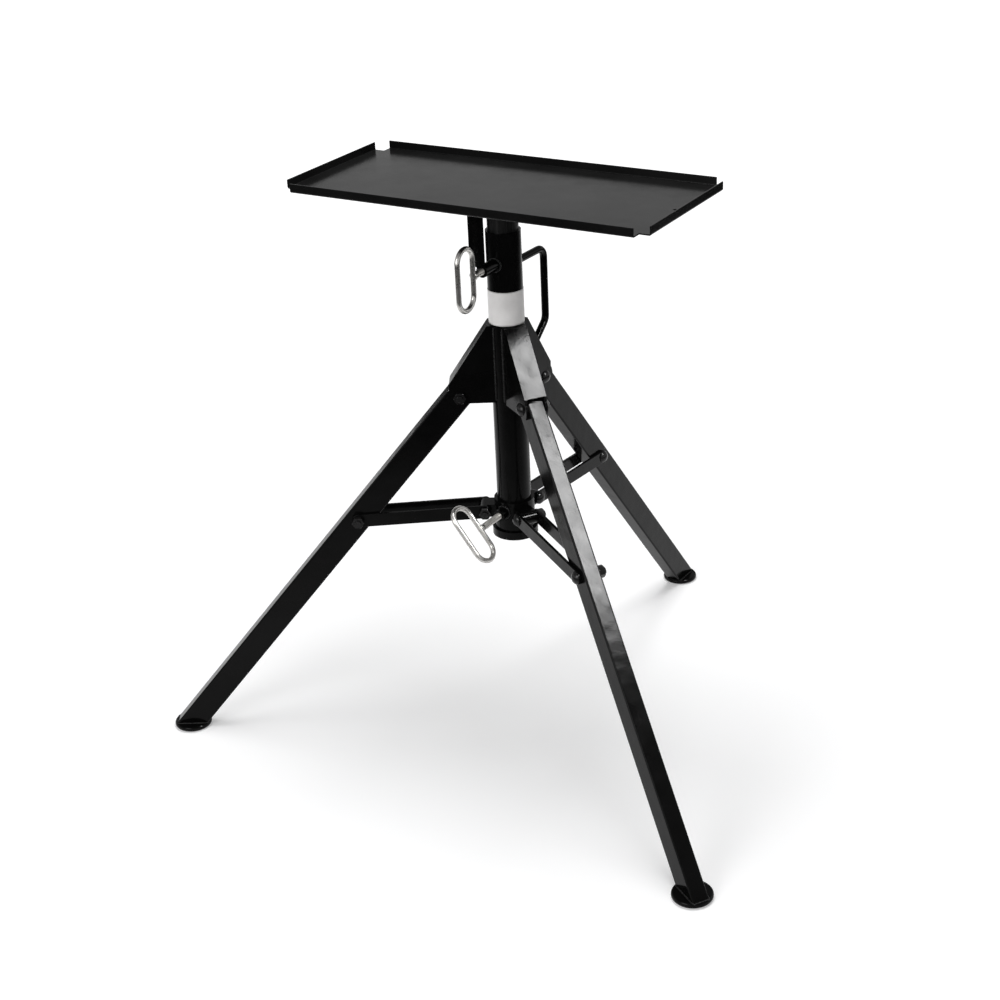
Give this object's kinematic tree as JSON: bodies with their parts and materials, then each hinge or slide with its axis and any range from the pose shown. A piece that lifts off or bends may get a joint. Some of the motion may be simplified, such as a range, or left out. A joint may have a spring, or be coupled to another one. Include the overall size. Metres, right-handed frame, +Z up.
{
  "type": "pipe threading machine stand",
  "caption": "Folding tripod stand with a height-adjustable post, loop-handled clamp screws and a lipped machine tray.",
  "frame": {"origin": "on the floor under the middle of the stand's box, with the post's axis a little to the right of it and in front", "axes": "+X along the tray's long side to the right, -Y to the front, +Z up"},
  "size_m": [0.9458, 0.8782, 0.8632],
  "materials": {
    "powder_black": "gloss powder coat",
    "tray_grey": "satin powder coat",
    "label_paper": "satin film, bare",
    "zinc_steel": "bright zinc plate",
    "post_steel": "dark drawn steel",
    "black_fastener": "painted over with the frame"
  },
  "bodies": {
    "column": {"column_tube": "powder_black", "label_band": "label_paper", "carry_handle": "powder_black", "upper_clamp_boss": "powder_black", "leg_bracket_left": "powder_black", "leg_bracket_right": "powder_black", "leg_bracket_back": "powder_black", "pivot_bolt_left": "black_fastener", "pivot_bolt_right": "black_fastener", "pivot_bolt_back": "black_fastener", "pivot_nut_left": "black_fastener", "pivot_nut_right": "black_fastener", "pivot_nut_back": "black_fastener"},
    "post": {"post": "post_steel"},
    "tray": {"tray": "tray_grey", "tray_mount_plate": "powder_black", "post_socket": "powder_black", "side_bar": "powder_black"},
    "collar": {"collar": "powder_black", "lower_clamp_boss": "powder_black", "lug_bolt_left": "black_fastener", "lug_bolt_right": "black_fastener", "lug_bolt_back": "black_fastener", "lug_nut_left": "black_fastener", "lug_nut_right": "black_fastener", "lug_nut_back": "black_fastener"},
    "leg_left": {"leg_left": "powder_black", "foot_left": "powder_black", "brace_pin_left": "black_fastener"},
    "brace_left": {"brace_near_strap_left": "powder_black", "brace_far_strap_left": "powder_black", "brace_bolt_head_left": "black_fastener", "brace_nut_left": "black_fastener"},
    "leg_right": {"leg_right": "powder_black", "foot_right": "powder_black", "brace_pin_right": "black_fastener"},
    "brace_right": {"brace_near_strap_right": "powder_black", "brace_far_strap_right": "powder_black", "brace_bolt_head_right": "black_fastener", "brace_nut_right": "black_fastener"},
    "leg_back": {"leg_back": "powder_black", "foot_back": "powder_black", "brace_pin_back": "black_fastener"},
    "brace_back": {"brace_near_strap_back": "powder_black", "brace_far_strap_back": "powder_black", "brace_bolt_head_back": "black_fastener", "brace_nut_back": "black_fastener"},
    "upper_clamp_screw": {"upper_clamp_screw": "zinc_steel"},
    "upper_loop_handle": {"upper_loop_handle": "zinc_steel"},
    "lower_clamp_screw": {"lower_clamp_screw": "zinc_steel"},
    "lower_loop_handle": {"lower_loop_handle": "zinc_steel"}
  },
  "joints": [
    {"name": "post_slide", "type": "slide", "parent": "column", "child": "post", "axis": [0, 0, 1], "range_m": [-0.02, 0.3]},
    {"name": "tray_swivel", "type": "hinge", "parent": "post", "child": "tray", "pos_m": [0.01211, -0.11335, 0.85], "axis": [0, 0, 1], "range_deg": [-95, 25]},
    {"name": "collar_slide", "type": "slide", "parent": "column", "child": "collar", "axis": [0, 0, 1], "range_m": [0, 0.12015]},
    {"name": "leg_fold_left", "type": "hinge", "parent": "column", "child": "leg_left", "pos_m": [-0.05055, -0.14881, 0.55], "axis": [0.4924, -0.8704, 0], "range_deg": [0, 38.27]},
    {"name": "brace_turn_left", "type": "hinge", "parent": "collar", "child": "brace_left", "pos_m": [-0.02618, -0.13502, 0.364], "axis": [0.4924, -0.8704, 0], "range_deg": [0, 77.06]},
    {"name": "leg_fold_right", "type": "hinge", "parent": "column", "child": "leg_right", "pos_m": [0.07145, -0.15413, 0.55], "axis": [0.5664, 0.8241, 0], "range_deg": [0, 38.37]},
    {"name": "brace_turn_right", "type": "hinge", "parent": "collar", "child": "brace_right", "pos_m": [0.04837, -0.13827, 0.364], "axis": [0.5664, 0.8241, 0], "range_deg": [0, 77.06]},
    {"name": "leg_fold_back", "type": "hinge", "parent": "column", "child": "leg_back", "pos_m": [0.01525, -0.04142, 0.55], "axis": [-0.999, 0.0436, 0], "range_deg": [0, 38.37]},
    {"name": "brace_turn_back", "type": "hinge", "parent": "collar", "child": "brace_back", "pos_m": [0.01403, -0.06939, 0.364], "axis": [-0.999, 0.0436, 0], "range_deg": [0, 77.06]},
    {"name": "upper_screw_feed", "type": "slide", "parent": "column", "child": "upper_clamp_screw", "axis": [-0.0349, -0.9994, 0], "range_m": [0, 0.0035]},
    {"name": "upper_handle_turn", "type": "hinge", "parent": "upper_clamp_screw", "child": "upper_loop_handle", "pos_m": [0.01002, -0.17332, 0.749], "axis": [-0.0349, -0.9994, 0], "range_deg": [0, 721]},
    {"name": "lower_screw_feed", "type": "slide", "parent": "collar", "child": "lower_clamp_screw", "axis": [-0.0349, -0.9994, 0], "range_m": [0, 0.0035]},
    {"name": "lower_handle_turn", "type": "hinge", "parent": "lower_clamp_screw", "child": "lower_loop_handle", "pos_m": [0.01002, -0.17332, 0.367], "axis": [-0.0349, -0.9994, 0], "range_deg": [0, 721]}
  ],
  "couplings": [
    {"joint": "collar_slide", "follows": "leg_fold_left", "m_per_rad": 0.17957},
    {"joint": "brace_turn_left", "follows": "leg_fold_left", "ratio": 2.0106},
    {"joint": "leg_fold_right", "follows": "leg_fold_left", "ratio": 1},
    {"joint": "brace_turn_right", "follows": "leg_fold_left", "ratio": 2.0106},
    {"joint": "leg_fold_back", "follows": "leg_fold_left", "ratio": 1},
    {"joint": "brace_turn_back", "follows": "leg_fold_left", "ratio": 2.0106},
    {"joint": "upper_handle_turn", "follows": "upper_screw_feed", "rad_per_m": 3590.4},
    {"joint": "lower_handle_turn", "follows": "lower_screw_feed", "rad_per_m": 3590.4}
  ]
}
